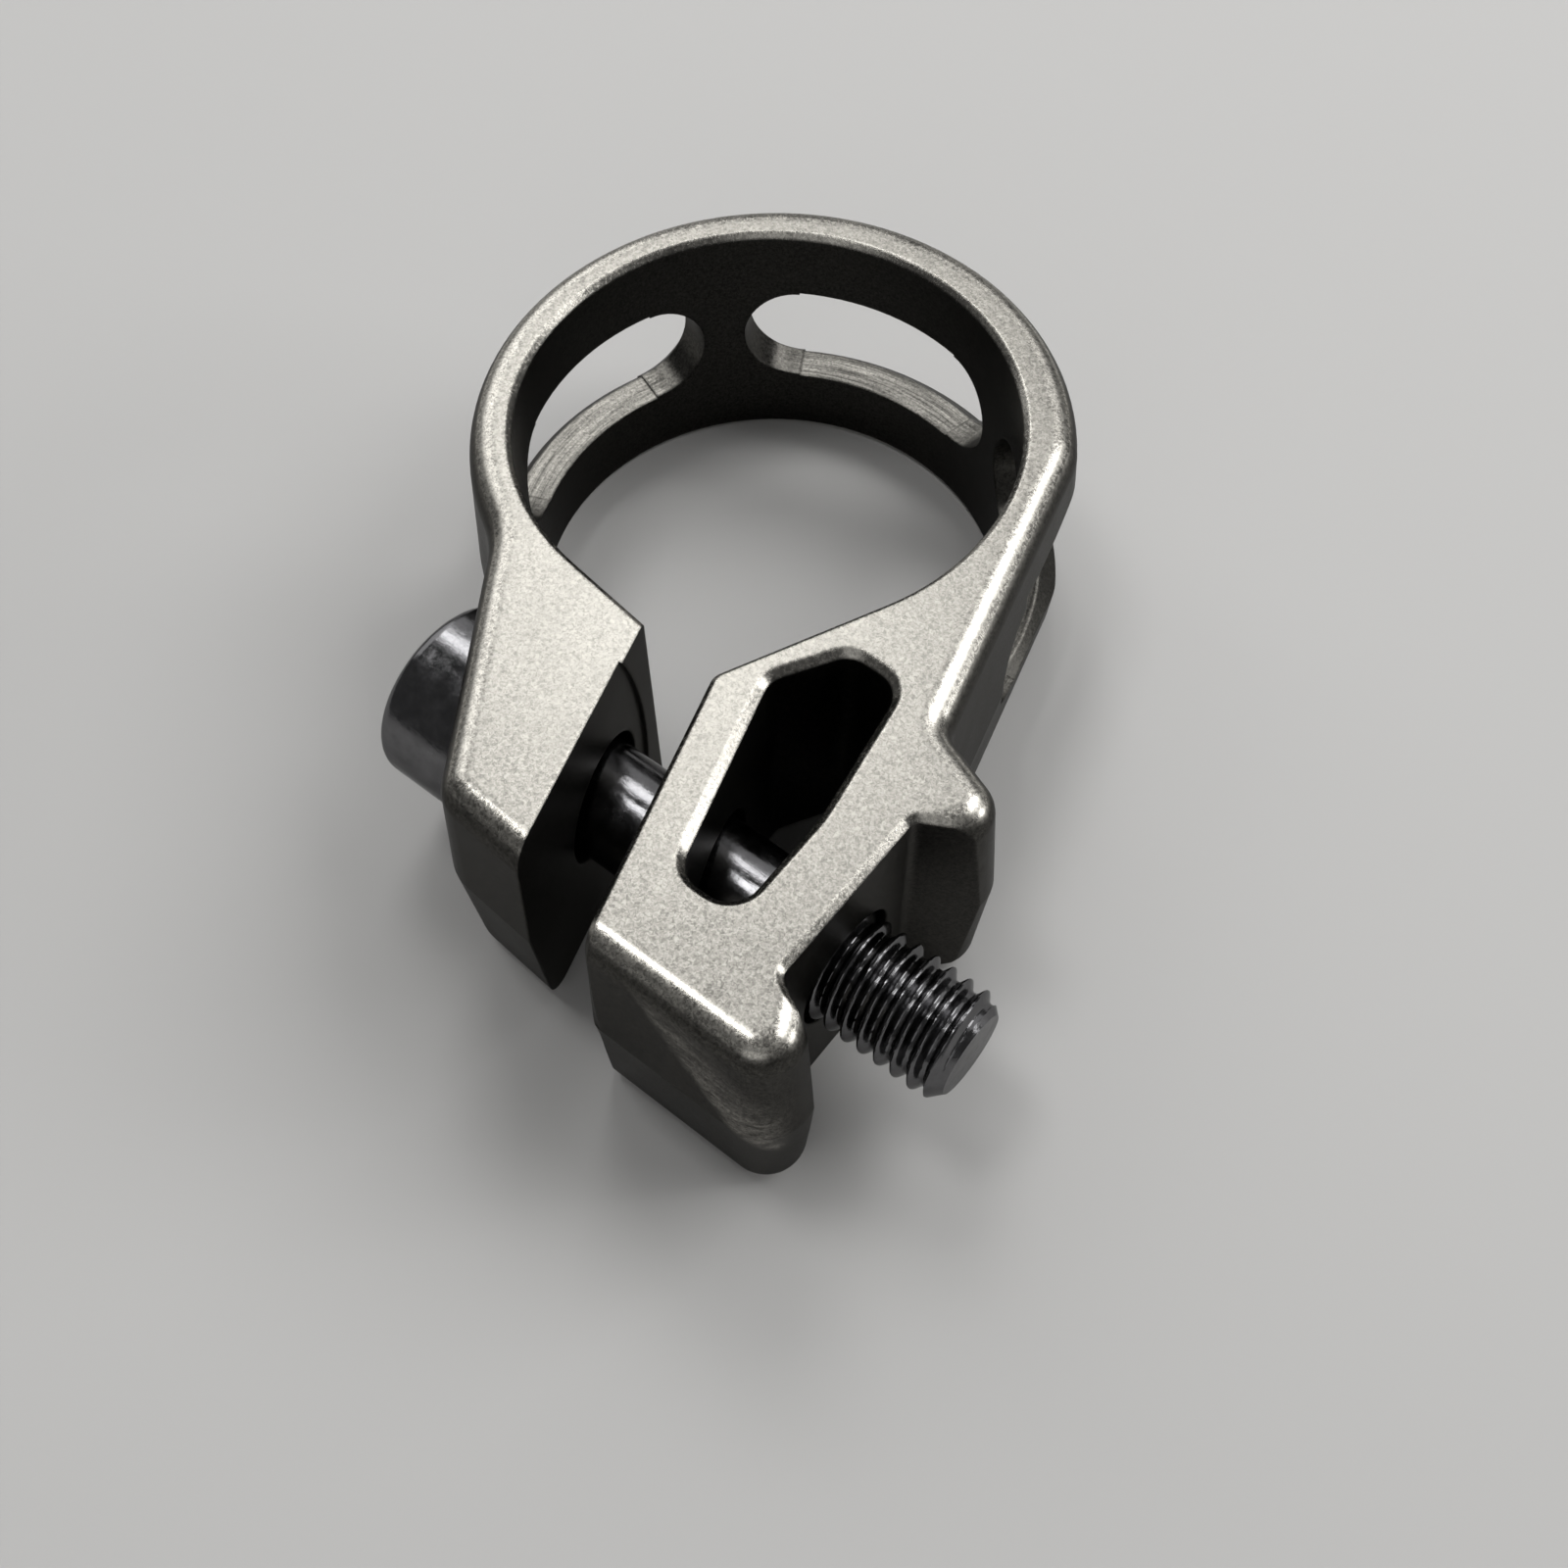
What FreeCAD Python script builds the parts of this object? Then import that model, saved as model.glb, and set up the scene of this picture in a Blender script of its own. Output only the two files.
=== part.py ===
import FreeCAD, Part
import math
import os

# Frame: millimetres, +Z along the bar bore, +X along the bolt from its head to its tip,
# origin on the bore axis at half the band width.

# Bar bore and band
bar_diameter = 22.2
band_width = 12.8
ring_wall = 2.6
ring_shift_x = 0.16
ring_shift_y = 0.18
draft_angle = 4.5
edge_rounding = 1.3
bore_chamfer = 0.25

# Bolt
bolt_below_bore = 5.2
thread_major_diameter = 4.9
shank_diameter = 4.86
bolt_length = 23.0
thread_past_seat = 0.18
run_out_length = 0.7
head_diameter = 8.4
head_height = 5.0
head_chamfer = 0.55
socket_across_flats = 4.0
socket_depth = 2.6
tip_chamfer = 0.6

# Clearances of the bolt in the band
head_seat_clearance = 0.02
ear_hole_clearance = 0.45
seat_hole_clearance = 0.3
counterbore_clearance = 0.2

# Gap between the ears
gap_width = 3.72
gap_tilt = 16.7
gap_left_face_x = 4.1
gap_relief_step = 0.15
gap_cutter_radius = 17.7
gap_cutter_below_bore = 1.45
gap_front_rounding = 0.5

# Bore lead-in flats on both sides of the gap
left_lead_in_angle = -98.0
right_lead_in_angle = -25.7
gap_mouth_rounding = 0.8

# Left ear, which takes the bolt head
ear_under_head = 4.2
left_ear_beyond_bore = 0.44
left_ear_face_angle = -56.5
left_ear_end_angle = -4.7
left_ear_end_below_bolt = 6.49
left_ear_corner_radius = 2.2
left_ear_blend_radius = 4.5

# Right ear with its flank, its seat and the two noses
flank_beyond_bore = 2.35
flank_angle = 14.4
flank_blend_radius = 4.0
flank_corner_radius = 0.6
seat_beyond_bore = 5.7
seat_half_width = 4.05
seat_corner_radius = 0.5
seat_flare_angle = 28.0
seat_edge_break = 0.3
front_below_bolt = 8.08
front_joint_radius = 2.0
joint_inside_gap = 0.5
nose_root_beyond_seat = 1.7
nose_root_half_width = 3.65
nose_root_radius = 1.0
lower_nose_reach = 2.4
lower_nose_radius = 2.1
upper_nose_reach = 1.95
upper_nose_above_bolt = 6.84
upper_nose_radius = 2.0
upper_nose_side_angle = 159.4

# Pocket through the right ear
pocket_gap_wall = 2.13
pocket_seat_wall = 2.89
pocket_flank_wall = 2.93
pocket_bore_wall = 1.7
pocket_bore_taper = 5.5
pocket_front_below_bolt = 3.12
pocket_back_above_bolt = 8.7
pocket_waist_above_bolt = 2.0
pocket_corner_radius = 1.3
pocket_small_radius = 1.1
pocket_waist_radius = 6.0
pocket_edge_break = 0.35

# Windows milled through the ring, each between two radial holes at these angles
window_height = 5.6
window_hole_radius = 2.7
window_land = 1.67
window_bevel_angle = 45.0
window_holes = [(3.6, 41.7), (76.9, 120.7), (159.1, 202.9)]

# How far cutting tools run past the metal, and what counts as touching
overrun = 1.0
touching = 1e-4

bore_radius = bar_diameter / 2
half_width = band_width / 2
tall = half_width + overrun
draft_inset = half_width * math.tan(math.radians(draft_angle))
ring_outer_radius = bore_radius + ring_wall
ring_centre = (ring_shift_x, ring_shift_y)
bolt_axis_y = -(bore_radius + bolt_below_bore)
seat_x = bore_radius + seat_beyond_bore
front_y = bolt_axis_y - front_below_bolt
head_seat_x = gap_left_face_x - ear_under_head


def vec(x, y, z=0.0):
    return FreeCAD.Vector(x, y, z)


def polar(radius, degrees):
    angle = math.radians(degrees)
    return (radius * math.cos(angle), radius * math.sin(angle))


def add(point, step, factor=1.0):
    return (point[0] + factor * step[0], point[1] + factor * step[1])


def dot(a, b):
    return a[0] * b[0] + a[1] * b[1]


def meet(point_a, angle_a, point_b, angle_b):
    """Crossing point of two lines, each given by a point and a direction in degrees."""
    a = polar(1.0, angle_a)
    b = polar(1.0, angle_b)
    between = add(point_b, point_a, -1.0)
    along = (between[0] * b[1] - between[1] * b[0]) / (a[0] * b[1] - a[1] * b[0])
    return add(point_a, a, along)


def halfway(a, b):
    return ((a[0] + b[0]) / 2, (a[1] + b[1]) / 2)


def on_circle(centre, radius, towards):
    """Point of a circle on the ray from its centre towards another point."""
    ray = add(towards, centre, -1.0)
    return add(centre, ray, radius / math.hypot(*ray))


def corner_arc(before, corner, after, radius):
    """Tangent arc that rounds a corner: its start, middle and end points."""
    u = on_circle((0.0, 0.0), 1.0, add(before, corner, -1.0))
    v = on_circle((0.0, 0.0), 1.0, add(after, corner, -1.0))
    half = math.acos(max(-1.0, min(1.0, dot(u, v)))) / 2
    back = radius / math.tan(half)
    bisector = on_circle((0.0, 0.0), 1.0, add(u, v))
    start = add(corner, u, back)
    middle = add(corner, bisector, radius / math.sin(half) - radius)
    end = add(corner, v, back)
    return start, middle, end


def line(a, b):
    return Part.makeLine(vec(*a), vec(*b))


def arc(a, b, c):
    return Part.Arc(vec(*a), vec(*b), vec(*c)).toShape()


def rounded_path(start, corners, finish):
    """Edges from start to finish through corners given as a point and a radius."""
    points = [start] + [point for point, _ in corners] + [finish]
    edges = []
    current = start
    for index, (point, radius) in enumerate(corners, start=1):
        first, middle, last = corner_arc(points[index - 1], point, points[index + 1], radius)
        edges.append(line(current, first))
        edges.append(arc(first, middle, last))
        current = last
    edges.append(line(current, finish))
    return edges


def closed_outline(corners):
    """Closed wire through rounded corners given as a point and a radius."""
    count = len(corners)
    arcs = []
    for index, (point, radius) in enumerate(corners):
        before = corners[index - 1][0]
        after = corners[(index + 1) % count][0]
        arcs.append(corner_arc(before, point, after, radius))
    edges = []
    for index in range(count):
        first, middle, last = arcs[index]
        edges.append(arc(first, middle, last))
        edges.append(line(last, arcs[(index + 1) % count][0]))
    return Part.Wire(edges)


def prism(wire, low, high):
    face = Part.Face(wire)
    face.translate(vec(0, 0, low))
    return face.extrude(vec(0, 0, high - low))


def bolt_cylinder(radius, x_from, x_to):
    return Part.makeCylinder(radius, x_to - x_from, vec(x_from, bolt_axis_y, 0), vec(1, 0, 0))


# Gap lines
gap_angle = -90.0 + gap_tilt
gap_direction = polar(1.0, gap_angle)
gap_normal = polar(1.0, gap_tilt)
gap_left_point = (gap_left_face_x, bolt_axis_y)
gap_right_point = add(gap_left_point, gap_normal, gap_width)

# Left ear: blend out of the ring, outer face and end
left_face_normal = polar(1.0, left_ear_face_angle - 90.0)
left_face_direction = polar(1.0, left_ear_face_angle)
left_face_offset = bore_radius + left_ear_beyond_bore
left_face_point = polar(left_face_offset, left_ear_face_angle - 90.0)
left_end_point = (0.0, bolt_axis_y - left_ear_end_below_bolt)
left_blend_reach = left_face_offset + left_ear_blend_radius - dot(ring_centre, left_face_normal)
left_blend_along = math.sqrt((ring_outer_radius + left_ear_blend_radius) ** 2 - left_blend_reach ** 2)
left_blend_centre = add(
    add(ring_centre, left_face_normal, left_blend_reach),
    left_face_direction,
    left_blend_along,
)
left_blend_start = on_circle(ring_centre, ring_outer_radius, left_blend_centre)
left_blend_end = add(left_blend_centre, left_face_normal, -left_ear_blend_radius)
left_blend_middle = on_circle(left_blend_centre, left_ear_blend_radius, halfway(left_blend_start, left_blend_end))
left_corner = meet(left_face_point, left_ear_face_angle, left_end_point, left_ear_end_angle)

# Right ear: flank with its blend into the ring
flank_normal = polar(1.0, flank_angle)
flank_direction = polar(1.0, flank_angle + 90.0)
flank_point = polar(bore_radius + flank_beyond_bore, flank_angle)
flank_blend_reach = dot(add(flank_point, ring_centre, -1.0), flank_normal) - flank_blend_radius
flank_blend_along = math.sqrt((ring_outer_radius - flank_blend_radius) ** 2 - flank_blend_reach ** 2)
flank_blend_centre = add(
    add(ring_centre, flank_normal, flank_blend_reach),
    flank_direction,
    flank_blend_along,
)
flank_blend_start = add(flank_blend_centre, flank_normal, flank_blend_radius)
flank_blend_end = on_circle(ring_centre, ring_outer_radius, flank_blend_centre)
flank_blend_middle = on_circle(flank_blend_centre, flank_blend_radius, halfway(flank_blend_start, flank_blend_end))

# Far side of the ring, opposite the chord between the two blends
ring_chord_middle = halfway(flank_blend_end, left_blend_start)
ring_middle = on_circle(ring_centre, -ring_outer_radius, ring_chord_middle)

# Right ear: front and noses
joint_left = meet(left_end_point, left_ear_end_angle, gap_left_point, gap_angle)
joint_left = add(joint_left, polar(joint_inside_gap, left_ear_end_angle))
joint_right = meet((0.0, front_y), 0.0, gap_right_point, gap_angle)
joint_right = add(joint_right, (-joint_inside_gap, 0.0))
nose_root_x = seat_x + nose_root_beyond_seat
lower_nose_corner = (nose_root_x + lower_nose_reach, front_y)
lower_root = (nose_root_x, bolt_axis_y - nose_root_half_width)
upper_root = (nose_root_x, bolt_axis_y + nose_root_half_width)
upper_nose_corner = (nose_root_x + upper_nose_reach, bolt_axis_y + upper_nose_above_bolt)
flank_corner = meet(upper_nose_corner, upper_nose_side_angle, flank_point, flank_angle + 90.0)

# Outline of the forging at its parting plane
outline_edges = [
    arc(flank_blend_end, ring_middle, left_blend_start),
    arc(left_blend_start, left_blend_middle, left_blend_end),
]
outline_edges += rounded_path(
    left_blend_end,
    [
        (left_corner, left_ear_corner_radius),
        (joint_left, front_joint_radius),
        (joint_right, front_joint_radius),
        (lower_nose_corner, lower_nose_radius),
        (lower_root, nose_root_radius),
        (upper_root, nose_root_radius),
        (upper_nose_corner, upper_nose_radius),
        (flank_corner, flank_corner_radius),
    ],
    flank_blend_start,
)
outline_edges.append(arc(flank_blend_start, flank_blend_middle, flank_blend_end))
parting_outline = Part.Wire(outline_edges)

# Bore with its lead-in flats and the gap
left_tangent = polar(bore_radius, left_lead_in_angle)
right_tangent = polar(bore_radius, right_lead_in_angle)
right_mouth = meet(right_tangent, right_lead_in_angle - 90.0, gap_right_point, gap_angle)
mouth_first, mouth_middle, mouth_last = corner_arc(
    right_tangent,
    right_mouth,
    gap_right_point,
    gap_mouth_rounding,
)
narrow_left = add(gap_left_point, gap_normal, gap_relief_step)
narrow_mouth = meet(left_tangent, left_lead_in_angle + 90.0, narrow_left, gap_angle)
outside_y = front_y - overrun
far_left = meet(narrow_left, gap_angle, (0.0, outside_y), 0.0)
front_corner = meet((0.0, front_y), 0.0, gap_right_point, gap_angle)
front_first, front_middle, front_last = corner_arc(
    gap_right_point,
    front_corner,
    lower_nose_corner,
    gap_front_rounding,
)
opening_wire = Part.Wire([
    line((0.0, 0.0), left_tangent),
    line(left_tangent, narrow_mouth),
    line(narrow_mouth, far_left),
    line(far_left, (front_last[0], outside_y)),
    line((front_last[0], outside_y), front_last),
    arc(front_last, front_middle, front_first),
    line(front_first, mouth_last),
    arc(mouth_last, mouth_middle, mouth_first),
    line(mouth_first, right_tangent),
    line(right_tangent, (0.0, 0.0)),
])

# Seat between the noses, flaring outwards, and the taper that breaks its edges
seat_low = bolt_axis_y - seat_half_width
seat_high = bolt_axis_y + seat_half_width
seat_cut_x = nose_root_x + max(lower_nose_reach, upper_nose_reach) + overrun
seat_flare = (seat_cut_x - seat_x) * math.tan(math.radians(seat_flare_angle))
seat_wire = closed_outline([
    ((seat_x, seat_low), seat_corner_radius),
    ((seat_cut_x, seat_low - seat_flare), seat_corner_radius),
    ((seat_cut_x, seat_high + seat_flare), seat_corner_radius),
    ((seat_x, seat_high), seat_corner_radius),
])
seat_taper_low = seat_wire.copy()
seat_taper_low.translate(vec(0, 0, half_width - seat_edge_break))
seat_taper_high = seat_wire.makeOffset2D(seat_edge_break + overrun)
seat_taper_high.translate(vec(0, 0, half_width + overrun))
seat_taper = Part.makeLoft([seat_taper_low, seat_taper_high], True, True)

# Pocket through the right ear, its walls set from the gap, the bore, the flank and the seat
pocket_front = (0.0, bolt_axis_y - pocket_front_below_bolt)
pocket_back = (0.0, bolt_axis_y + pocket_back_above_bolt)
pocket_seat_side_x = seat_x - pocket_seat_wall
pocket_gap_side = add(gap_right_point, gap_normal, pocket_gap_wall)
pocket_bore_side = polar(bore_radius + pocket_bore_wall, right_lead_in_angle)
pocket_bore_angle = right_lead_in_angle + 90.0 - pocket_bore_taper
pocket_flank_side = add(flank_point, flank_normal, -pocket_flank_wall)
pocket_outline = closed_outline([
    (meet(pocket_front, 0.0, pocket_gap_side, gap_angle), pocket_corner_radius),
    ((pocket_seat_side_x, pocket_front[1]), pocket_corner_radius),
    ((pocket_seat_side_x, bolt_axis_y + pocket_waist_above_bolt), pocket_waist_radius),
    (meet(pocket_back, 0.0, pocket_flank_side, flank_angle + 90.0), pocket_corner_radius),
    (meet(pocket_back, 0.0, pocket_bore_side, pocket_bore_angle), pocket_small_radius),
    (meet(pocket_bore_side, pocket_bore_angle, pocket_gap_side, gap_angle), pocket_small_radius),
])


# Edges of the flat side that get a small break
def on_bore(point):
    if abs(math.hypot(point.x, point.y) - bore_radius) < touching:
        return True
    left = point.x * left_tangent[0] + point.y * left_tangent[1]
    right = point.x * right_tangent[0] + point.y * right_tangent[1]
    return min(abs(left / bore_radius - bore_radius), abs(right / bore_radius - bore_radius)) < touching


def on_pocket(point):
    return pocket_outline.distToShape(Part.Vertex(vec(point.x, point.y)))[0] < touching


def edges_at(solid, height):
    return [edge for edge in solid.Edges if all(abs(v.Z - height) < touching for v in edge.Vertexes)]


def break_edges(solid, size, test):
    """Chamfer the edges of the flat side that pass a test at their middle."""
    found = []
    for edge in edges_at(solid, half_width):
        middle = edge.valueAt((edge.FirstParameter + edge.LastParameter) / 2)
        if test(middle):
            found.append(edge)
    return solid.makeChamfer(size, found)


# Upper half of the forging: drafted from the parting plane, rounded, bored and milled through
inset_outline = parting_outline.makeOffset2D(-draft_inset)
inset_outline.translate(vec(0, 0, half_width))
upper_half = Part.makeLoft([parting_outline, inset_outline], True, True)
upper_half = upper_half.makeFillet(edge_rounding, edges_at(upper_half, half_width))
bore = Part.makeCylinder(bore_radius, 2 * tall, vec(0, 0, -tall))
upper_half = upper_half.cut(bore.fuse(prism(opening_wire, -tall, tall)))
upper_half = upper_half.cut(prism(seat_wire, -tall, tall))
upper_half = upper_half.cut(seat_taper)
upper_half = upper_half.cut(prism(pocket_outline, -tall, tall))
upper_half = break_edges(upper_half, bore_chamfer, on_bore)
upper_half = break_edges(upper_half, pocket_edge_break, on_pocket)
lower_half = upper_half.mirror(vec(0, 0, 0), vec(0, 0, 1))
band = upper_half.fuse(lower_half)

# Round cutter that finishes the left gap face and stops short of the bore
cutter_start = meet((0.0, -(bore_radius + gap_cutter_below_bore)), 0.0, gap_left_point, gap_angle)
cutter_centre = add(cutter_start, gap_direction, gap_cutter_radius)
band = band.cut(Part.makeCylinder(gap_cutter_radius, gap_width / 2, vec(*cutter_centre), vec(*gap_normal)))

# Bolt holes and the counterbore for the head
ear_hole_radius = shank_diameter / 2 + ear_hole_clearance
seat_hole_radius = thread_major_diameter / 2 + seat_hole_clearance
counterbore_radius = head_diameter / 2 + counterbore_clearance
pocket_middle_x = pocket_seat_side_x - overrun
band = band.cut(bolt_cylinder(ear_hole_radius, head_seat_x - overrun, pocket_middle_x))
band = band.cut(bolt_cylinder(seat_hole_radius, pocket_middle_x, seat_x + overrun))
band = band.cut(bolt_cylinder(counterbore_radius, head_seat_x - ring_outer_radius, head_seat_x))


def window(first, last):
    """Tools for one window: a milled arc between two radial holes, bevelled outside its land clear of the flank."""
    inner = bore_radius - overrun
    outer = ring_outer_radius + ring_wall
    land_end = bore_radius + window_land
    low = window_height / 2
    spread = (outer - land_end) * math.tan(math.radians(window_bevel_angle))
    high = low + spread
    corners = [(inner, -low), (land_end, -low), (outer, -high), (outer, high), (land_end, low), (inner, low)]
    corners.append(corners[0])
    section = Part.Face(Part.makePolygon([vec(radius, 0, height) for radius, height in corners]))
    sweep = section.revolve(vec(0, 0, 0), vec(0, 0, 1), last - first)
    sweep.rotate(vec(0, 0, 0), vec(0, 0, 1), first)
    tools = [sweep]
    for angle in (first, last):
        reach = vec(*polar(1.0, angle))
        hole_start = vec(*polar(inner, angle))
        tools.append(Part.makeCylinder(window_hole_radius, outer - inner, hole_start, reach))
        if angle > flank_angle:
            bevel_start = vec(*polar(land_end, angle))
            bevel_end_radius = window_hole_radius + spread
            tools.append(Part.makeCone(window_hole_radius, bevel_end_radius, outer - land_end, bevel_start, reach))
    return tools


for first_angle, last_angle in window_holes:
    for tool in window(first_angle, last_angle):
        band = band.cut(tool)

# Bolt: head with hexagon socket, plain shank, run-out, thread envelope with a chamfered tip
under_head_x = head_seat_x - head_seat_clearance
head_end_x = under_head_x - head_height
tip_x = under_head_x + bolt_length
thread_start_x = seat_x + thread_past_seat
run_out_x = thread_start_x - run_out_length
head = bolt_cylinder(head_diameter / 2, head_end_x, under_head_x)
outer_rim = [e for e in head.Edges if e.BoundBox.XLength < touching and e.BoundBox.XMax < head_end_x + touching]
head = head.makeChamfer(head_chamfer, outer_rim)
socket_points = []
for corner in range(7):
    across, up = polar(socket_across_flats / math.sqrt(3.0), 60.0 * corner)
    socket_points.append(vec(head_end_x - overrun, bolt_axis_y + across, up))
socket = Part.Face(Part.makePolygon(socket_points)).extrude(vec(overrun + socket_depth, 0, 0))
shank = bolt_cylinder(shank_diameter / 2, under_head_x, run_out_x)
run_out = Part.makeCone(
    shank_diameter / 2,
    thread_major_diameter / 2,
    run_out_length,
    vec(run_out_x, bolt_axis_y, 0),
    vec(1, 0, 0),
)
thread = bolt_cylinder(thread_major_diameter / 2, thread_start_x, tip_x)
tip_rim = [e for e in thread.Edges if e.BoundBox.XLength < touching and e.BoundBox.XMin > tip_x - touching]
thread = thread.makeChamfer(tip_chamfer, tip_rim)
bolt = head.cut(socket).fuse(shank).fuse(run_out).fuse(thread)

os.makedirs("parts", exist_ok=True)
band.Solids[0].exportStep("parts/clamp_band.step")
bolt.Solids[0].exportStep("parts/clamp_bolt.step")
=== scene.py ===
import math

import bpy
import numpy as np
from bpy.props import FloatProperty, FloatVectorProperty, IntProperty, PointerProperty
from mathutils import Matrix, Vector


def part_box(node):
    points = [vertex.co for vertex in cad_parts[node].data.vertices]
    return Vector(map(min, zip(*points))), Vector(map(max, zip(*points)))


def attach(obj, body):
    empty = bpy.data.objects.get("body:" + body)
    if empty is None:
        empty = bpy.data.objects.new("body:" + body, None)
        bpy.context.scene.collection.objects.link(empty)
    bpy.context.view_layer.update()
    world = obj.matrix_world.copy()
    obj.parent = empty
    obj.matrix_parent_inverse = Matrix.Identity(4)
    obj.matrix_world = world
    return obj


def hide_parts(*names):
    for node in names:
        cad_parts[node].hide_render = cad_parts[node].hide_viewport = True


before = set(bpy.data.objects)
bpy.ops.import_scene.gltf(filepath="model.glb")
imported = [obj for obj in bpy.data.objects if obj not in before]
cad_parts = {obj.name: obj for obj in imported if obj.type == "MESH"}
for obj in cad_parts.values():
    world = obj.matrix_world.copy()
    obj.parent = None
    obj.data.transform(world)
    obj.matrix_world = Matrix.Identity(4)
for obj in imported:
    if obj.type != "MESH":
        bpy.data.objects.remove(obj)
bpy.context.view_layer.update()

bl_info = {
    "name": "Shifter clamp",
    "version": (1, 0, 0),
    "blender": (4, 5, 0),
    "location": "View3D > Sidebar > Clamp",
    "description": "Forged handlebar clamp band with its socket-head bolt, on a pale floor",
    "category": "Object",
}

MM = 0.001
BOLT_LOW, BOLT_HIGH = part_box("clamp_bolt")
BAND_LOW, BAND_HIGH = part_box("clamp_band")

# Zones of the band's finish, and of its painted shade and painted highlight. A level is the upright share of
# the surface normal: 1 on the flat sides, 0 on a wall. A height is the distance from the parting plane. Each
# pair says where a mask starts and is full.

FLAT_LEVEL = (0.90, 0.99)
SIDE_LEVEL = (0.90, 0.55)
BEVEL_LEVEL, BEVEL_HEIGHT = (0.92, 0.82), (4.7 * MM, 4.3 * MM)
ROUNDING_START, ROUNDING_END, ROUNDING_HEIGHT = (0.999, 0.985), (0.86, 0.95), (5.6 * MM, 5.9 * MM)
LIP_START, LIP_END, LIP_HEIGHT = (0.86, 0.80), (0.50, 0.62), (5.98 * MM, 6.08 * MM)
BORE_RADIUS, BORE_LEVEL = (11.20 * MM, 11.13 * MM), (0.7, 0.3)
LAND_HEIGHT = (3.4 * MM, 3.1 * MM)

# The rubbed patch on the front face lies above a line that falls towards the bolt's tip.

RUBBED_LINE_X, RUBBED_SLOPE = 17.4 * MM, 1.12
RUBBED_START, RUBBED_END = (-0.3 * MM, 0.5 * MM), (4.6 * MM, 1.2 * MM)
RUBBED_TOP, RUBBED_FRONT = (5.7 * MM, 4.8 * MM), (-22.8 * MM, -23.4 * MM)
RUBBED_LEFT, RUBBED_RIGHT = (12.0 * MM, 17.0 * MM, 0.35, 1.0), (19.4 * MM, 18.8 * MM)
RUBBED_TURN, RUBBED_STRETCH, RUBBED_MARKS = 0.84, (0.4, 1.0, 1.5), (0.34, 0.62, 0.15, 1.0)
RUBBED_TONE, RUBBED_ROUGHNESS = 5.0, 0.12

# Marks of the band's skin: size of each noise, and what its values are mapped from and to.

DRIFT_SIZE, DRIFT_TONE, DRIFT_ROUGHNESS = 3.2 * MM, (0.3, 0.7, 0.92, 1.08), (0.3, 0.7, -0.03, 0.03)
GRAIN_TONE, GRAIN_SPECK, SPECK_ROUGHNESS = (0.32, 0.70, -0.42, 0.52), (0.34, 0.68), (0.0, 1.0, -0.04, 0.05)
GRAIN_BUMP, GRAIN_DEPTH = 0.3, 0.012 * MM
STREAK_WIDTH, STREAK_TURNS, STREAK_HEIGHT = 0.16 * MM, 3.0, 0.5 * MM
STREAK_TONE, STREAK_BUMP, STREAK_DEPTH = (0.3, 0.7, 0.2, 0.85), 0.5, 0.02 * MM
SCRATCH_SIZE = 0.6 * MM
BURNISH_ROUGHNESS = -0.12
BEVEL_SAMPLES = 3

# Form of the thread: where a triangle wave is cut at root and crest, its softening and the turns of run-out

ROOT_CUT, CREST_CUT, SOFTENING, RUN_OUT = 0.22, 0.90, 0.35, 1.3

# Marks of the bolt's skin

WEAR_SIZE, WEAR_MIX, WEAR_ROUGHNESS = 0.9 * MM, (0.35, 0.7), (0.35, 0.7, -0.05, 0.11)
WEAR_DARK, WEAR_LIGHT = 0.85, 1.2
FINE_SIZE, FINE_ROUGHNESS, FINE_BUMP, FINE_DEPTH = 0.14 * MM, (0.3, 0.7, -0.03, 0.04), 0.45, 0.006 * MM
LINE_SIZE, LINE_STRETCH, LINE_BUMP, LINE_DEPTH = 0.42 * MM, (0.35, 1.0, 1.0), 0.5, 0.02 * MM
BOLT_SHARP_ANGLE = math.radians(38.0)

# Soft boxes: name, direction from the band's middle, distance and size in metres, and the power's setting

SOFT_BOXES = (
    ("key_box", (-0.40, 0.41, 0.82), 0.42, 0.13, "key_power"),
    ("back_box", (-0.30, 0.64, 0.71), 0.55, 0.50, "back_power"),
    ("top_box", (-0.30, -0.08, 0.95), 0.45, 0.10, "top_power"),
    ("right_box", (0.39, 0.56, 0.73), 0.50, 0.28, "right_power"),
    ("left_box", (-0.82, 0.26, 0.51), 0.50, 0.38, "left_power"),
    ("low_box", (0.78, 0.55, 0.28), 0.50, 0.18, "low_power"),
    ("front_box", (0.30, -0.76, 0.58), 0.60, 0.50, "front_power"),
)
FLOOR_REACH, FLOOR_ROUGHNESS, FLOOR_SHINE = 2.0, 0.9, 0.2
CAMERA_SENSOR_MM, CAMERA_NEAR = 36.0, 2.0 * MM


# Small helpers for meshes

def put_mesh(name, points, quads, fans):
    """Mesh object at the origin from whole arrays: points, four-cornered faces and three-cornered faces."""
    mesh = bpy.data.meshes.new(name)
    corners = np.concatenate([quads.ravel(), fans.ravel()])
    starts = np.concatenate([
        np.arange(len(quads)) * 4,
        len(quads) * 4 + np.arange(len(fans)) * 3,
    ])
    mesh.vertices.add(len(points))
    mesh.vertices.foreach_set("co", points.astype(np.float32).ravel())
    mesh.loops.add(len(corners))
    mesh.loops.foreach_set("vertex_index", corners.astype(np.int32))
    mesh.polygons.add(len(starts))
    mesh.polygons.foreach_set("loop_start", starts.astype(np.int32))
    mesh.update(calc_edges=True)
    mesh.validate()
    piece = bpy.data.objects.new(name, mesh)
    bpy.context.scene.collection.objects.link(piece)
    return piece


def smooth_by_angle(mesh, limit):
    """Smooth shading with the edges that turn by more than the limit kept sharp."""
    mesh.polygons.foreach_set("use_smooth", np.ones(len(mesh.polygons), dtype=bool))
    mesh.set_sharp_from_angle(angle=limit)


# Small helpers for materials

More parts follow.
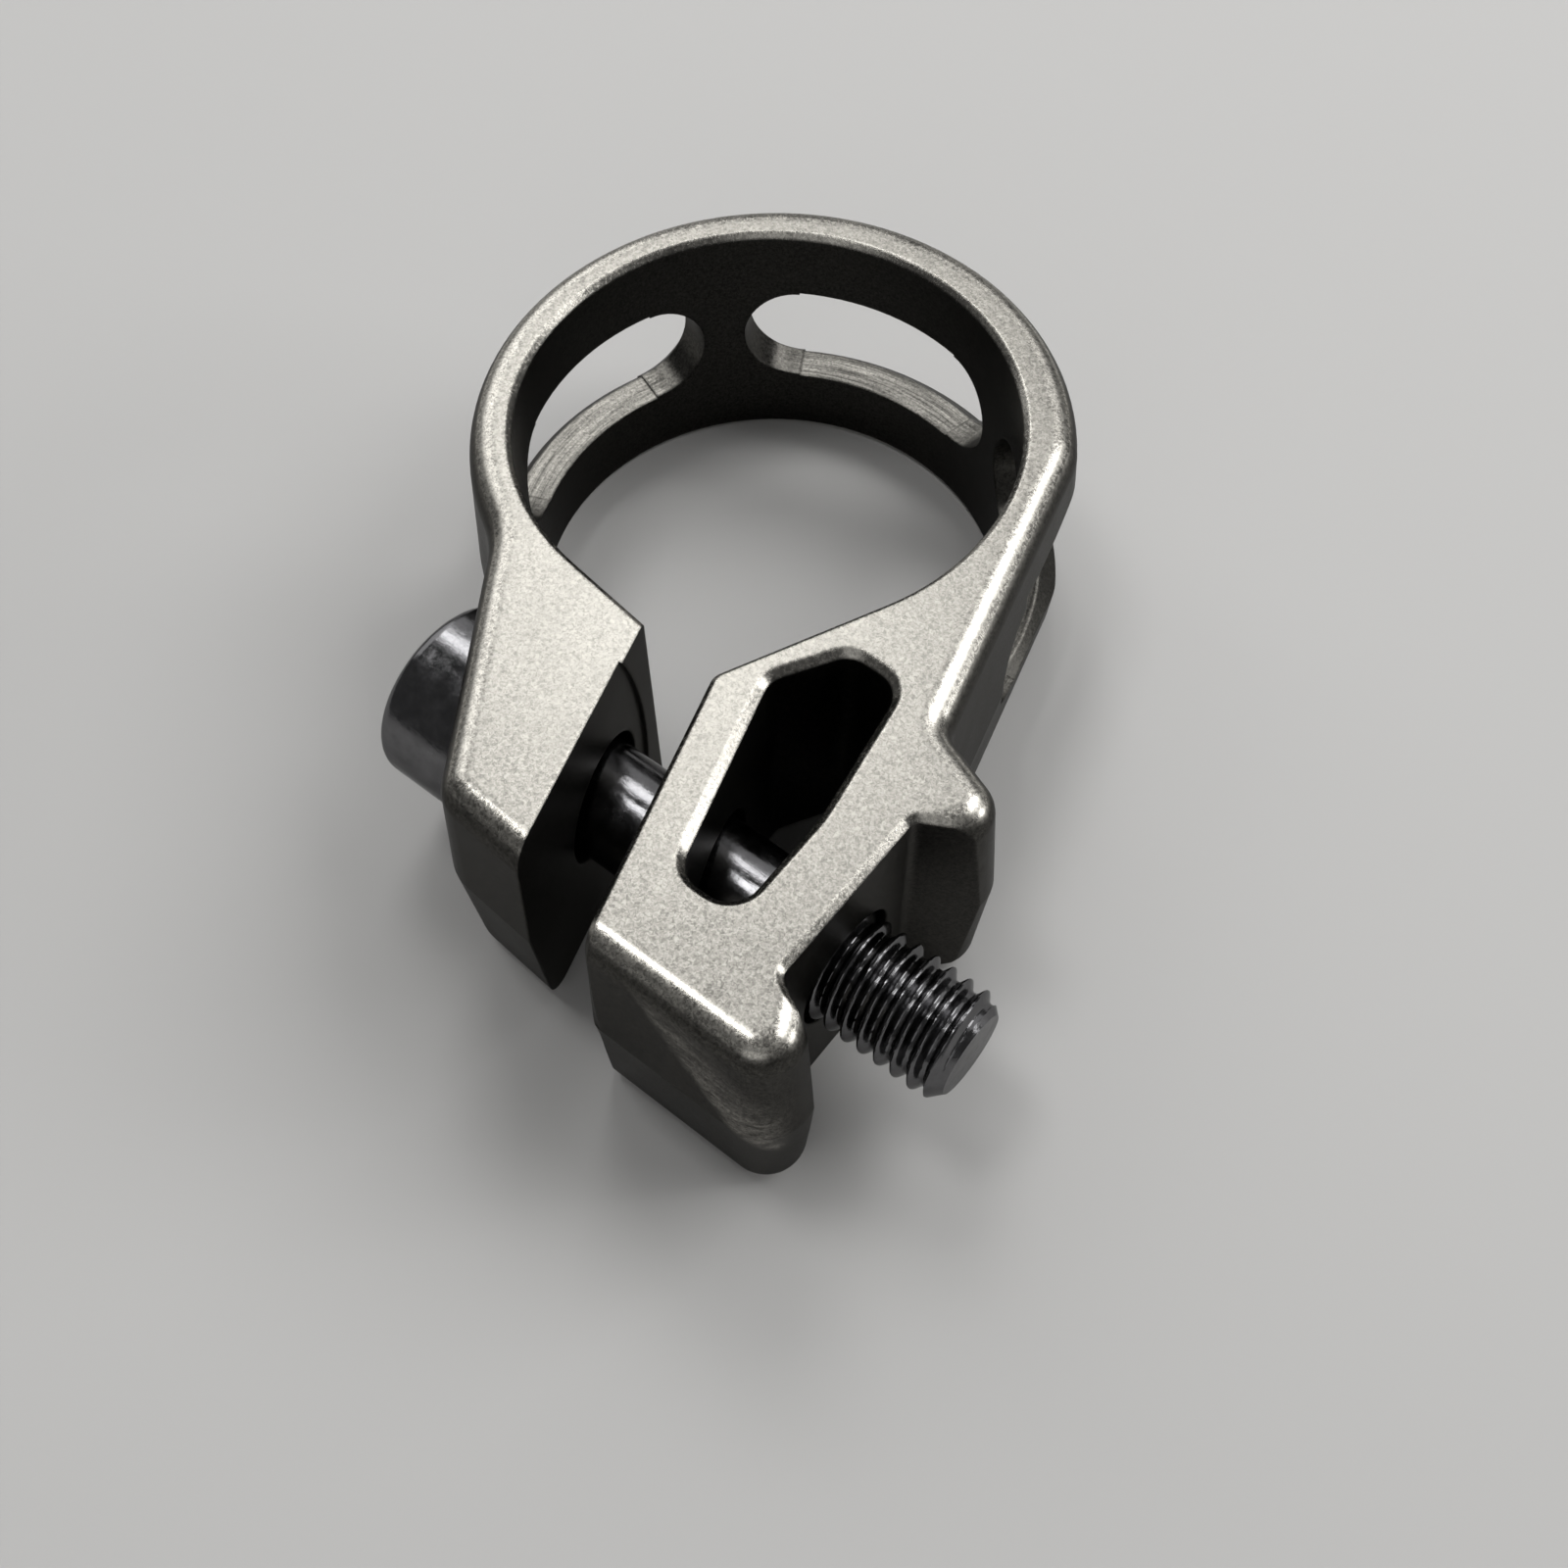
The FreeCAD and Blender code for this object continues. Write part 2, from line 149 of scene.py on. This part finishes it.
class Nodes:
    """Short way to add and join the nodes of one material."""

    def __init__(self, name):
        self.material = bpy.data.materials.new(name)
        self.material.use_nodes = True
        self.tree = self.material.node_tree
        self.shader = self.tree.nodes["Principled BSDF"]

    def join(self, source, target):
        self.tree.links.new(source, target)

    def add(self, kind, inputs=None, **settings):
        node = self.tree.nodes.new(kind)
        for key, value in settings.items():
            setattr(node, key, value)
        for key, value in (inputs or {}).items():
            if isinstance(value, bpy.types.NodeSocket):
                self.join(value, node.inputs[key])
            else:
                node.inputs[key].default_value = value
        return node

    def place(self):
        return self.add("ShaderNodeTexCoord").outputs["Object"]

    def math(self, operation, first, second=0.0, clamp=False):
        node = self.add("ShaderNodeMath", {0: first, 1: second}, operation=operation)
        node.use_clamp = clamp
        return node.outputs[0]

    def ramp(self, value, low, high, start=0.0, end=1.0):
        node = self.add("ShaderNodeMapRange", {0: value, 1: low, 2: high, 3: start, 4: end})
        node.clamp = True
        return node.outputs[0]

    def noise(self, vector, scale, detail=2.0, roughness=0.5, distortion=0.0):
        inputs = {
            "Vector": vector,
            "Scale": scale,
            "Detail": detail,
            "Roughness": roughness,
            "Distortion": distortion,
        }
        return self.add("ShaderNodeTexNoise", inputs).outputs[0]

    def split(self, vector):
        return self.add("ShaderNodeSeparateXYZ", {0: vector}).outputs

    def product(self, *factors):
        result = factors[0]
        for factor in factors[1:]:
            result = self.math("MULTIPLY", result, factor)
        return result

    def mix_colour(self, factor, first, second):
        return self.add("ShaderNodeMix", {0: factor, 6: first, 7: second}, data_type="RGBA").outputs[2]

    def blend(self, factor, first, second):
        return self.add("ShaderNodeMix", {0: factor, 2: first, 3: second}).outputs[0]

    def bump(self, height, strength, distance, normal=None):
        inputs = {"Height": height, "Strength": strength, "Distance": distance}
        if normal is not None:
            inputs["Normal"] = normal
        return self.add("ShaderNodeBump", inputs).outputs[0]


def opaque(colour, factor=1.0):
    return (colour[0] * factor, colour[1] * factor, colour[2] * factor, 1.0)


# Sizes and colours that a user may change

class BandFinish(bpy.types.PropertyGroup):
    colour: FloatVectorProperty(
        name="Colour", description="Anodised colour of the band's flat sides", subtype="COLOR", size=3,
        min=0.0, max=1.0, default=(0.272, 0.262, 0.238))
    # Painted shade: the drafted sides keep only this share of the colour, a painted stand-in for the dark
    # they reflect.
    side_shade_share: FloatProperty(
        name="Sides", description="Share of that colour on the drafted sides", subtype="FACTOR",
        min=0.0, max=1.0, default=0.2)
    # Painted shade: the bored wall keeps only this share of the colour, painted to stand for the shade
    # inside the ring.
    bore_shade_share: FloatProperty(
        name="Bore", description="Share of that colour on the bored wall", subtype="FACTOR",
        min=0.0, max=1.0, default=0.1)
    edge_tint: FloatProperty(
        name="Edge tint", description="Share of the reflection left at grazing angles", subtype="FACTOR",
        min=0.0, max=1.0, default=0.6)
    # Partly real burnishing, partly a painted highlight: the colour is made this many times brighter where a
    # flat side rounds off.
    burnish_and_highlight: FloatProperty(
        name="Burnish", description="How much brighter the metal is where a flat side rounds off",
        default=2.2, min=1.0)
    roughness: FloatProperty(
        name="Roughness", description="Roughness of the blasted skin", subtype="FACTOR",
        min=0.0, max=1.0, default=0.36)
    grain: FloatProperty(
        name="Grain", description="Size of the blasting grain", unit="LENGTH",
        default=0.14 * MM, min=0.01 * MM)
    edge: FloatProperty(
        name="Edges", description="Rounding that the light sees on machined edges", unit="LENGTH",
        default=0.2 * MM)


class BoltSizes(bpy.types.PropertyGroup):
    colour: FloatVectorProperty(
        name="Colour", description="Blackened steel of the bolt", subtype="COLOR", size=3,
        min=0.0, max=1.0, default=(0.14, 0.139, 0.143))
    roughness: FloatProperty(
        name="Roughness", description="Roughness of the bolt", subtype="FACTOR",
        min=0.0, max=1.0, default=0.15)
    edge_tint: FloatProperty(
        name="Edge tint", description="Share of the reflection left at grazing angles", subtype="FACTOR",
        min=0.0, max=1.0, default=0.6)
    pitch: FloatProperty(name="Pitch", description="Thread pitch", unit="LENGTH", default=0.8 * MM)
    depth: FloatProperty(name="Depth", description="Thread depth", unit="LENGTH", default=0.38 * MM)
    thread_radius: FloatProperty(
        name="Thread radius", description="Radius over the thread crests", unit="LENGTH", default=2.45 * MM)
    shank_radius: FloatProperty(
        name="Shank radius", description="Radius of the plain shank", unit="LENGTH", default=2.43 * MM)
    thread_length: FloatProperty(
        name="Thread length", description="Threaded length from the tip", unit="LENGTH", default=9.5 * MM)
    tip_chamfer: FloatProperty(
        name="Tip chamfer", description="Chamfer at the tip", unit="LENGTH", default=0.6 * MM)
    head_height: FloatProperty(
        name="Head height", description="Height of the head", unit="LENGTH", default=5.0 * MM)
    head_rounding: FloatProperty(
        name="Head rounding", description="Rounding of the head's outer rim", unit="LENGTH",
        default=0.55 * MM)
    socket_flats: FloatProperty(
        name="Socket", description="Hexagon socket across its flats", unit="LENGTH", default=4.0 * MM)
    socket_depth: FloatProperty(
        name="Socket depth", description="Depth of the hexagon socket", unit="LENGTH", default=2.6 * MM)
    sides: IntProperty(name="Sides", description="Steps around the bolt", default=144, min=12)
    steps: IntProperty(name="Steps", description="Steps along one thread turn", default=22, min=6)


class StageSettings(bpy.types.PropertyGroup):
    floor_colour: FloatVectorProperty(
        name="Floor", description="Colour of the pale floor", subtype="COLOR", size=3,
        min=0.0, max=1.0, default=(0.55, 0.545, 0.535))
    world_level: FloatProperty(
        name="World", description="Level of the even light from all round", default=0.12)
    key_power: FloatProperty(
        name="Key", description="Power of the key box behind, left", unit="POWER", default=0.32)
    back_power: FloatProperty(
        name="Back", description="Power of the wide box behind", unit="POWER", default=0.55)
    top_power: FloatProperty(
        name="Top", description="Power of the small box above", unit="POWER", default=0.27)
    right_power: FloatProperty(
        name="Right", description="Power of the box behind, right", unit="POWER", default=1.1)
    left_power: FloatProperty(
        name="Left", description="Power of the box at the left", unit="POWER", default=0.55)
    low_power: FloatProperty(
        name="Low", description="Power of the small low box, right", unit="POWER", default=0.55)
    front_power: FloatProperty(
        name="Front", description="Power of the weak box in front", unit="POWER", default=0.4)
    camera_place: FloatVectorProperty(
        name="Camera", description="Place of the camera", subtype="TRANSLATION", unit="LENGTH", size=3,
        default=(34.099 * MM, -41.365 * MM, 65.937 * MM))
    camera_aim: FloatVectorProperty(
        name="Aim", description="Point at the middle of the picture", subtype="TRANSLATION", unit="LENGTH",
        size=3, default=(9.625 * MM, -11.165 * MM, 0.0))
    camera_roll: FloatProperty(
        name="Roll", description="Turn of the camera about its view", subtype="ANGLE",
        default=math.radians(-0.992))
    lens: FloatProperty(
        name="Lens", description="Focal length on a 36 mm sensor", subtype="DISTANCE_CAMERA", default=41.625)


# Band

def rubbed_patch(n, place):
    """Mask of the rubbed patch: streaked noise inside the zone on the front face."""
    x, y, z = n.split(place)
    turned = n.add("ShaderNodeMapping", {
        "Vector": place,
        "Rotation": (0.0, RUBBED_TURN, 0.0),
        "Scale": RUBBED_STRETCH,
    }).outputs[0]
    scratch = n.noise(turned, 1.0 / SCRATCH_SIZE, 5.0, 0.7, 0.8)
    above = n.math("ADD", z, n.math("MULTIPLY", n.math("SUBTRACT", x, RUBBED_LINE_X), RUBBED_SLOPE))
    return n.product(
        n.ramp(above, *RUBBED_START),
        n.ramp(above, *RUBBED_END),
        n.ramp(z, *RUBBED_TOP),
        n.ramp(y, *RUBBED_FRONT),
        n.ramp(x, *RUBBED_LEFT),
        n.ramp(x, *RUBBED_RIGHT),
        n.ramp(scratch, *RUBBED_MARKS),
    )


def band_finish(finish):
    """Blasted and anodised skin: speckled grain on the flat sides, a burnished line with a painted highlight
    where they round off, painted shade on the drafted sides, painted shade that makes the bored wall near
    black, milling streaks round the window lands and a rubbed patch on the front."""
    n = Nodes("blasted_anodised_aluminium")
    place = n.place()
    x, y, z = n.split(place)
    rounded = n.add("ShaderNodeBevel", {"Radius": finish.edge}, samples=BEVEL_SAMPLES).outputs[0]
    level = n.math("ABSOLUTE", n.split(rounded)[2])
    height = n.math("ABSOLUTE", z)
    radius = n.math("SQRT", n.math("ADD", n.math("MULTIPLY", x, x), n.math("MULTIPLY", y, y)))
    turn = n.math("ARCTAN2", y, x)

    # Painted shade: the drafted walls and the flank bevel are darkened in their colour, not by the light.
    bevel = n.product(n.ramp(level, *BEVEL_LEVEL), n.ramp(height, *BEVEL_HEIGHT))
    side = n.math("MAXIMUM", n.ramp(level, *SIDE_LEVEL), bevel)
    # Partly real burnishing, partly a painted highlight: where the flat sides round off the colour is
    # brightened and the roughness lowered.
    rounding = n.product(
        n.ramp(level, *ROUNDING_START), n.ramp(level, *ROUNDING_END), n.ramp(height, *ROUNDING_HEIGHT))
    lip = n.product(n.ramp(level, *LIP_START), n.ramp(level, *LIP_END), n.ramp(height, *LIP_HEIGHT))
    burnish_and_highlight = n.math("ADD", rounding, lip, clamp=True)
    # Painted shade: the bored wall is made near black in its colour.
    bored = n.product(n.ramp(radius, *BORE_RADIUS), n.ramp(level, *BORE_LEVEL))
    land = n.product(n.ramp(level, *FLAT_LEVEL), n.ramp(height, *LAND_HEIGHT))
    rubbed = rubbed_patch(n, place)

    grain = n.noise(place, 1.0 / finish.grain, 2.0, 0.55, 0.9)
    drift = n.noise(place, 1.0 / DRIFT_SIZE, 3.0, 0.55)
    streak_place = n.add("ShaderNodeCombineXYZ", {
        0: n.math("MULTIPLY", radius, 1.0 / STREAK_WIDTH),
        1: n.math("MULTIPLY", turn, STREAK_TURNS),
        2: n.math("MULTIPLY", z, 1.0 / STREAK_HEIGHT),
    }).outputs[0]
    streak = n.noise(streak_place, 1.0, 2.0, 0.6, 0.6)

    # The tone carries real grain and drift, painted shade on the sides and the bore, a painted highlight at
    # the roundings, the land streaks and the rubbed patch.
    tone = n.product(
        n.math("ADD", n.ramp(drift, *DRIFT_TONE), n.ramp(grain, *GRAIN_TONE)),
        n.ramp(side, 0.0, 1.0, 1.0, finish.side_shade_share),
        n.ramp(bored, 0.0, 1.0, 1.0, finish.bore_shade_share / finish.side_shade_share),
        n.ramp(burnish_and_highlight, 0.0, 1.0, 1.0, finish.burnish_and_highlight),
        n.blend(land, 1.0, n.ramp(streak, *STREAK_TONE)),
        n.ramp(rubbed, 0.0, 1.0, 1.0, RUBBED_TONE),
    )
    colour = n.add("ShaderNodeVectorMath", {0: finish.colour, 3: tone}, operation="SCALE").outputs[0]
    n.join(colour, n.shader.inputs["Base Color"])

    speck = n.ramp(grain, *GRAIN_SPECK)
    rough = n.math("ADD", n.ramp(drift, *DRIFT_ROUGHNESS), n.ramp(speck, *SPECK_ROUGHNESS))
    rough = n.math("ADD", rough, n.ramp(burnish_and_highlight, 0.0, 1.0, 0.0, BURNISH_ROUGHNESS))
    rough = n.math("ADD", rough, n.ramp(rubbed, 0.0, 1.0, 0.0, RUBBED_ROUGHNESS))
    n.join(n.math("ADD", rough, finish.roughness), n.shader.inputs["Roughness"])
    n.shader.inputs["Metallic"].default_value = 1.0
    n.shader.inputs["Specular Tint"].default_value = opaque((finish.edge_tint,) * 3)

    # The streaks' bump masks by the plain normal, because a bump would trace the rounded one several times
    plain = n.add("ShaderNodeNewGeometry").outputs["True Normal"]
    facing = n.math("ABSOLUTE", n.split(plain)[2])
    milled = n.product(streak, n.ramp(facing, *FLAT_LEVEL), n.ramp(height, *LAND_HEIGHT))
    grained = n.bump(grain, GRAIN_BUMP, GRAIN_DEPTH, rounded)
    n.join(n.bump(milled, STREAK_BUMP, STREAK_DEPTH, grained), n.shader.inputs["Normal"])
    return n.material


class CLAMP_OT_band(bpy.types.Operator):
    """Give the forged band its blasted and anodised finish"""
    bl_idname = "shifter_clamp.band"
    bl_label = "Clamp band"

    def execute(self, context):
        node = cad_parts["clamp_band"]
        node.data.materials.clear()
        node.data.materials.append(band_finish(context.scene.clamp_band_finish))
        return {"FINISHED"}


# Bolt

def thread_radius(x, turn, sizes, tip_x):
    """Radius of the threaded end: a triangle wave of x over the pitch minus the turn, cut flat at crest and
    root, faded in at the run-out and cut by the tip's cone."""
    phase = np.mod(x / sizes.pitch - turn, 1.0)
    wave = 1.0 - np.abs(2.0 * phase - 1.0)
    height = np.clip((wave - ROOT_CUT) / (CREST_CUT - ROOT_CUT), 0.0, 1.0)
    height = height * height * (3.0 - 2.0 * height) * SOFTENING + height * (1.0 - SOFTENING)
    start_x = tip_x - sizes.thread_length
    fade = np.clip((x - start_x) / (RUN_OUT * sizes.pitch), 0.0, 1.0)
    plain = sizes.shank_radius + (sizes.thread_radius - sizes.shank_radius) * fade
    radius = plain - sizes.depth * fade * (1.0 - height)
    return np.minimum(radius, sizes.thread_radius - sizes.tip_chamfer + np.abs(tip_x - x))


def bolt_surface(sizes, axis_y, axis_z, head_end_x, tip_x):
    """Closed surface of turn and station around the bolt axis: a profile of rings from the socket's bottom,
    over the head and along the shank, to the tip. Socket rings follow a hexagon, r = apothem / cos of the
    angle from the nearest flat, and thread rings follow the helix of thread_radius."""
    turn = np.arange(sizes.sides) / sizes.sides
    angle = turn * 2.0 * np.pi
    apothem = sizes.socket_flats / 2.0
    from_flat = np.mod(angle + np.pi / 6.0, np.pi / 3.0) - np.pi / 6.0
    hexagon = apothem / np.cos(from_flat)
    mouth = apothem / math.cos(math.pi / 6.0) + 0.06 * MM
    fall = (mouth - hexagon) * 0.9
    bottom_x = head_end_x + sizes.socket_depth
    bottom_rise = 0.3 * MM
    head_radius = (BOLT_HIGH[2] - BOLT_LOW[2]) / 2.0
    under_x = head_end_x + sizes.head_height
    edge = 0.16 * MM
    tight, close, near = 0.02 * MM, 0.03 * MM, 0.05 * MM
    rings = []

    def ring(x, radius):
        rings.append((np.broadcast_to(x, angle.shape), np.broadcast_to(radius, angle.shape)))

    for share in (0.35, 0.7, 0.97):
        ring(bottom_x + bottom_rise * (1.0 - share), hexagon * share)
    ring(bottom_x, hexagon)
    for share in (0.97, 0.5, 0.06):
        ring(head_end_x + (sizes.socket_depth - fall) * share + fall, hexagon)
    ring(head_end_x + fall, hexagon)
    ring(head_end_x + tight, mouth - tight)
    ring(head_end_x, mouth)
    ring(head_end_x, mouth + close)
    ring(head_end_x, head_radius - sizes.head_rounding - close)
    for bend in np.linspace(0.0, np.pi / 2.0, 9):
        ring(
            head_end_x + sizes.head_rounding * (1.0 - math.cos(bend)),
            head_radius - sizes.head_rounding * (1.0 - math.sin(bend)),
        )
    for x in np.linspace(head_end_x + sizes.head_rounding + near, under_x - edge - tight, 10):
        ring(x, head_radius)
    for bend in np.linspace(0.0, np.pi / 2.0, 5):
        ring(under_x - edge * (1.0 - math.sin(bend)), head_radius - edge * (1.0 - math.cos(bend)))
    ring(under_x, head_radius - edge - near)
    ring(under_x, sizes.shank_radius + near)
    ring(under_x, sizes.shank_radius)
    ring(under_x + near, sizes.shank_radius)
    start_x = tip_x - sizes.thread_length
    for x in np.linspace(under_x + 0.3 * MM, start_x - near, 24):
        ring(x, sizes.shank_radius)
    count = int(math.ceil(sizes.thread_length / sizes.pitch * sizes.steps))
    for x in np.linspace(start_x, tip_x, count):
        ring(x, thread_radius(np.full(angle.shape, x), turn, sizes, tip_x))
    last = rings[-1][1]
    for share in (0.96, 0.6, 0.3):
        ring(tip_x, last * share)
    x = np.stack([r[0] for r in rings])
    radius = np.stack([r[1] for r in rings])
    y = axis_y + radius * np.cos(angle)[None, :]
    z = axis_z + radius * np.sin(angle)[None, :]
    points = np.stack([x, y, z], axis=-1).reshape(-1, 3)
    poles = np.array([
        [bottom_x + bottom_rise, axis_y, axis_z],
        [tip_x, axis_y, axis_z],
    ])
    here = np.arange(sizes.sides)
    after = np.roll(here, -1)
    rows = np.arange(len(rings) - 1)[:, None] * sizes.sides
    quads = np.stack([
        rows + here,
        rows + sizes.sides + here,
        rows + sizes.sides + after,
        rows + after,
    ], axis=-1).reshape(-1, 4)[:, ::-1]
    first_pole = len(points)
    end_row = (len(rings) - 1) * sizes.sides
    fans = np.concatenate([
        np.stack([np.full(sizes.sides, first_pole), after, here], axis=-1),
        np.stack([np.full(sizes.sides, first_pole + 1), end_row + here, end_row + after], axis=-1),
    ])
    return np.concatenate([points, poles]), quads, fans


def bolt_finish(sizes):
    """Blackened steel: glossy dark skin with fine marks along the axis and patches of wear."""
    n = Nodes("blackened_steel")
    place = n.place()
    wear = n.noise(place, 1.0 / WEAR_SIZE, 4.0, 0.65)
    fine = n.noise(place, 1.0 / FINE_SIZE, 3.0, 0.6, 0.6)
    stretched = n.add("ShaderNodeMapping", {"Vector": place, "Scale": LINE_STRETCH}).outputs[0]
    lines = n.noise(stretched, 1.0 / LINE_SIZE, 3.0, 0.6, 0.4)
    dark, light = opaque(sizes.colour, WEAR_DARK), opaque(sizes.colour, WEAR_LIGHT)
    n.join(n.mix_colour(n.ramp(wear, *WEAR_MIX), dark, light), n.shader.inputs["Base Color"])
    rough = n.math("ADD", n.ramp(wear, *WEAR_ROUGHNESS), n.ramp(fine, *FINE_ROUGHNESS))
    n.join(n.math("ADD", rough, sizes.roughness), n.shader.inputs["Roughness"])
    n.shader.inputs["Metallic"].default_value = 1.0
    n.shader.inputs["Specular Tint"].default_value = opaque((sizes.edge_tint,) * 3)
    marked = n.bump(lines, LINE_BUMP, LINE_DEPTH)
    n.join(n.bump(fine, FINE_BUMP, FINE_DEPTH, marked), n.shader.inputs["Normal"])
    return n.material


class CLAMP_OT_bolt(bpy.types.Operator):
    """Make the threaded bolt with its hexagon socket in place of the plain solid"""
    bl_idname = "shifter_clamp.bolt"
    bl_label = "Clamp bolt"

    def execute(self, context):
        sizes = context.scene.clamp_bolt_sizes
        axis_y = (BOLT_LOW[1] + BOLT_HIGH[1]) / 2.0
        axis_z = (BOLT_LOW[2] + BOLT_HIGH[2]) / 2.0
        points, quads, fans = bolt_surface(sizes, axis_y, axis_z, BOLT_LOW[0], BOLT_HIGH[0])
        piece = put_mesh("threaded_bolt", points, quads, fans)
        smooth_by_angle(piece.data, BOLT_SHARP_ANGLE)
        piece.data.materials.append(bolt_finish(sizes))
        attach(piece, "bolt")
        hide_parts("clamp_bolt")
        return {"FINISHED"}


# Stage

def look_matrix(place, aim, roll):
    """Camera turned so that it looks from its place at the aim, then rolled about its view."""
    view = (Vector(aim) - Vector(place)).to_track_quat("-Z", "Y").to_matrix().to_4x4()
    return Matrix.Translation(place) @ view @ Matrix.Rotation(roll, 4, "Z")


def soft_box(name, place, aim, size, power):
    """Square area lamp at a place, turned to the aim."""
    lamp = bpy.data.lights.new(name, "AREA")
    lamp.shape = "SQUARE"
    lamp.size = size
    lamp.energy = power
    holder = bpy.data.objects.new(name, lamp)
    holder.matrix_world = look_matrix(place, aim, 0.0)
    bpy.context.scene.collection.objects.link(holder)


class CLAMP_OT_stage(bpy.types.Operator):
    """Set the pale floor, the soft light and the camera"""
    bl_idname = "shifter_clamp.stage"
    bl_label = "Stage"

    def execute(self, context):
        scene = context.scene
        stage = scene.clamp_stage
        corners = np.array([
            [across * FLOOR_REACH, along * FLOOR_REACH, BAND_LOW[2]]
            for across, along in ((-1, -1), (1, -1), (1, 1), (-1, 1))
        ])
        floor = put_mesh("floor", corners, np.array([[0, 1, 2, 3]]), np.zeros((0, 3), dtype=int))
        n = Nodes("pale_floor")
        n.shader.inputs["Base Color"].default_value = opaque(stage.floor_colour)
        n.shader.inputs["Roughness"].default_value = FLOOR_ROUGHNESS
        n.shader.inputs["Specular IOR Level"].default_value = FLOOR_SHINE
        floor.data.materials.append(n.material)

        world = bpy.data.worlds.new("even_light")
        scene.world = world
        world.use_nodes = True
        background = world.node_tree.nodes["Background"]
        background.inputs["Color"].default_value = (1.0, 1.0, 1.0, 1.0)
        background.inputs["Strength"].default_value = stage.world_level

        middle = Vector(((BAND_LOW[0] + BAND_HIGH[0]) / 2.0, (BAND_LOW[1] + BAND_HIGH[1]) / 2.0, 0.0))
        for name, direction, distance, size, power in SOFT_BOXES:
            place = middle + Vector(direction).normalized() * distance
            soft_box(name, place, middle, size, getattr(stage, power))

        camera = bpy.data.objects.new("camera", bpy.data.cameras.new("camera"))
        camera.data.sensor_width = CAMERA_SENSOR_MM
        camera.data.lens = stage.lens
        camera.data.clip_start = CAMERA_NEAR
        camera.matrix_world = look_matrix(stage.camera_place, stage.camera_aim, stage.camera_roll)
        scene.collection.objects.link(camera)
        scene.camera = camera
        scene.view_settings.view_transform = "Standard"
        return {"FINISHED"}


class CLAMP_PT_panel(bpy.types.Panel):
    bl_idname = "CLAMP_PT_panel"
    bl_label = "Shifter clamp"
    bl_space_type = "VIEW_3D"
    bl_region_type = "UI"
    bl_category = "Clamp"

    def draw(self, context):
        layout = self.layout
        for operator in (CLAMP_OT_band, CLAMP_OT_bolt, CLAMP_OT_stage):
            layout.operator(operator.bl_idname)
        scene = context.scene
        for group in (scene.clamp_band_finish, scene.clamp_bolt_sizes, scene.clamp_stage):
            box = layout.box()
            for key in group.__annotations__:
                box.prop(group, key)


CLASSES = (
    BandFinish,
    BoltSizes,
    StageSettings,
    CLAMP_OT_band,
    CLAMP_OT_bolt,
    CLAMP_OT_stage,
    CLAMP_PT_panel,
)


def register():
    for item in CLASSES:
        bpy.utils.register_class(item)
    bpy.types.Scene.clamp_band_finish = PointerProperty(type=BandFinish)
    bpy.types.Scene.clamp_bolt_sizes = PointerProperty(type=BoltSizes)
    bpy.types.Scene.clamp_stage = PointerProperty(type=StageSettings)


def unregister():
    del bpy.types.Scene.clamp_band_finish
    del bpy.types.Scene.clamp_bolt_sizes
    del bpy.types.Scene.clamp_stage
    for item in reversed(CLASSES):
        bpy.utils.unregister_class(item)


def main():
    register()
    bpy.ops.shifter_clamp.band()
    bpy.ops.shifter_clamp.bolt()
    bpy.ops.shifter_clamp.stage()


if __name__ == "__main__":
    main()
